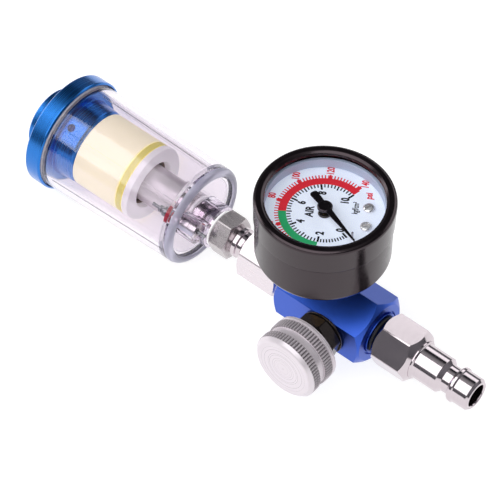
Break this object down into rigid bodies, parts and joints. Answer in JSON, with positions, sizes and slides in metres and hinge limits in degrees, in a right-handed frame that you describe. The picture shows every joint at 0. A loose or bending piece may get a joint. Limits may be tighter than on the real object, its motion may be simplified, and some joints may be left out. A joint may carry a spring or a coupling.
{
  "type": "air pressure regulator",
  "caption": "In-line compressed-air regulator with round dial gauge, hex body, turned adjusting knob, quick-connect inlet plug, swivel coupling and clear water-trap filter.",
  "frame": {"origin": "centre of the mouth of the tool port, on the outer face of the filter cap", "axes": "+X along the flow axis towards the inlet plug, -Y along the adjusting knob, +Z along the gauge stem towards the dial"},
  "size_m": [0.1726, 0.0515, 0.0644],
  "materials": {
    "blue_anodised": "turned and machined aluminium, blue anodised",
    "clear_polycarbonate": "clear moulded polycarbonate",
    "sintered_element": "sintered cream element",
    "yellow_plastic": "moulded yellow plastic",
    "white_plastic": "moulded white plastic",
    "black_rubber": "moulded nitrile rubber",
    "red_rubber": "moulded red rubber",
    "satin_nickel": "nickel plated, satin",
    "polished_chrome": "polished and chrome plated",
    "brass": "machined brass",
    "spring_steel": "drawn or machined steel",
    "black_oxide": "blackened steel",
    "fibre_washer": "pressed fibre",
    "turned_aluminium": "turned aluminium with a straight knurl",
    "black_enamel": "black enamel, semi-gloss",
    "dial_enamel": "white enamel with printed scale",
    "lens_glass": "flat clear glass"
  },
  "bodies": {
    "housing": {"filter_cap": "blue_anodised", "cap_seal_ring": "black_rubber", "filter_bowl": "clear_polycarbonate", "filter_element": "sintered_element", "element_band": "yellow_plastic", "element_retainer": "white_plastic", "element_lip_seal": "black_rubber", "standpipe": "polished_chrome", "standpipe_seal": "black_rubber", "filter_nipple": "satin_nickel", "nipple_washer": "fibre_washer", "drain_valve_body": "brass", "drain_seal": "red_rubber", "drain_spring": "spring_steel", "coupling_washer": "fibre_washer", "swivel_spigot": "satin_nickel", "spigot_washer": "satin_nickel", "regulator_body": "blue_anodised", "valve_seat": "brass", "poppet_spring": "spring_steel", "range_spring": "spring_steel", "bonnet": "black_oxide", "bonnet_washer": "satin_nickel", "inlet_plug": "polished_chrome", "inlet_seal_washer": "fibre_washer", "gauge_stem_seal": "fibre_washer", "gauge_case": "black_enamel", "gauge_bezel": "black_enamel", "gauge_lens": "lens_glass", "dial_spacer": "white_plastic", "gauge_socket": "brass", "gauge_dial": "dial_enamel", "dial_screw_1": "satin_nickel", "dial_screw_2": "satin_nickel", "pointer_stop_pin": "satin_nickel", "bourdon_tube": "brass", "hairspring": "brass", "movement_plate_lower": "brass", "movement_plate_upper": "brass", "movement_pillar_1": "brass", "movement_pillar_2": "brass"},
    "coupling_nut": {"swivel_nut": "satin_nickel"},
    "drain_plunger": {"drain_pin": "brass"},
    "spring_follower": {"spring_button": "brass"},
    "knob_and_screw": {"adjusting_knob": "turned_aluminium", "adjusting_screw": "spring_steel", "knob_grub_screw": "spring_steel"},
    "regulating_piston": {"piston": "brass", "piston_seal": "black_rubber"},
    "inlet_valve": {"valve_poppet": "brass"},
    "pointer_and_pinion": {"gauge_pointer": "black_enamel", "pinion_arbor": "brass"},
    "sector_and_arbor": {"sector_gear": "brass", "sector_arbor": "spring_steel"},
    "tip_link": {"gauge_link": "brass"}
  },
  "joints": [
    {"name": "swivel_nut_turn", "type": "hinge", "parent": "housing", "child": "coupling_nut", "pos_m": [0.0925, 0, 0], "axis": [1, 0, 0], "continuous": true},
    {"name": "drain_press", "type": "slide", "parent": "housing", "child": "drain_plunger", "axis": [-1, 0, 0], "range_m": [0, 0.002], "stiffness_N_per_m": 400, "springref_m": -0.003, "deforming": ["drain_spring"]},
    {"name": "screw_advance", "type": "slide", "parent": "housing", "child": "spring_follower", "axis": [0, 1, 0], "range_m": [0, 0.004], "deforming": ["range_spring"]},
    {"name": "knob_turn", "type": "hinge", "parent": "spring_follower", "child": "knob_and_screw", "pos_m": [0.1222, -0.024, 0], "axis": [0, 1, 0], "range_deg": [0, 1440]},
    {"name": "piston_lift", "type": "slide", "parent": "housing", "child": "regulating_piston", "axis": [0, 1, 0], "range_m": [0, 0.0006]},
    {"name": "poppet_lift", "type": "slide", "parent": "housing", "child": "inlet_valve", "axis": [0, 1, 0], "range_m": [0, 0.0006], "deforming": ["poppet_spring"]},
    {"name": "pointer_turn", "type": "hinge", "parent": "housing", "child": "pointer_and_pinion", "pos_m": [0.1123, 0, 0.034], "axis": [0, 0, -1], "range_deg": [0, 263], "deforming": ["hairspring"]},
    {"name": "sector_turn", "type": "hinge", "parent": "housing", "child": "sector_and_arbor", "pos_m": [0.11935, -0.00379, 0.0337], "axis": [0, 0, 1], "range_deg": [0, 37.57]},
    {"name": "link_turn", "type": "hinge", "parent": "sector_and_arbor", "child": "tip_link", "pos_m": [0.11947, -0.00778, 0.0346], "axis": [0, 0, -1], "range_deg": [0, 37.57]}
  ],
  "couplings": [
    {"joint": "screw_advance", "follows": "knob_turn", "m_per_rad": 0.00015915},
    {"joint": "piston_lift", "follows": "knob_turn", "m_per_rad": 0.000023873},
    {"joint": "poppet_lift", "follows": "knob_turn", "m_per_rad": 0.000023873},
    {"joint": "pointer_turn", "follows": "sector_turn", "ratio": 7},
    {"joint": "link_turn", "follows": "sector_turn", "ratio": 1}
  ]
}
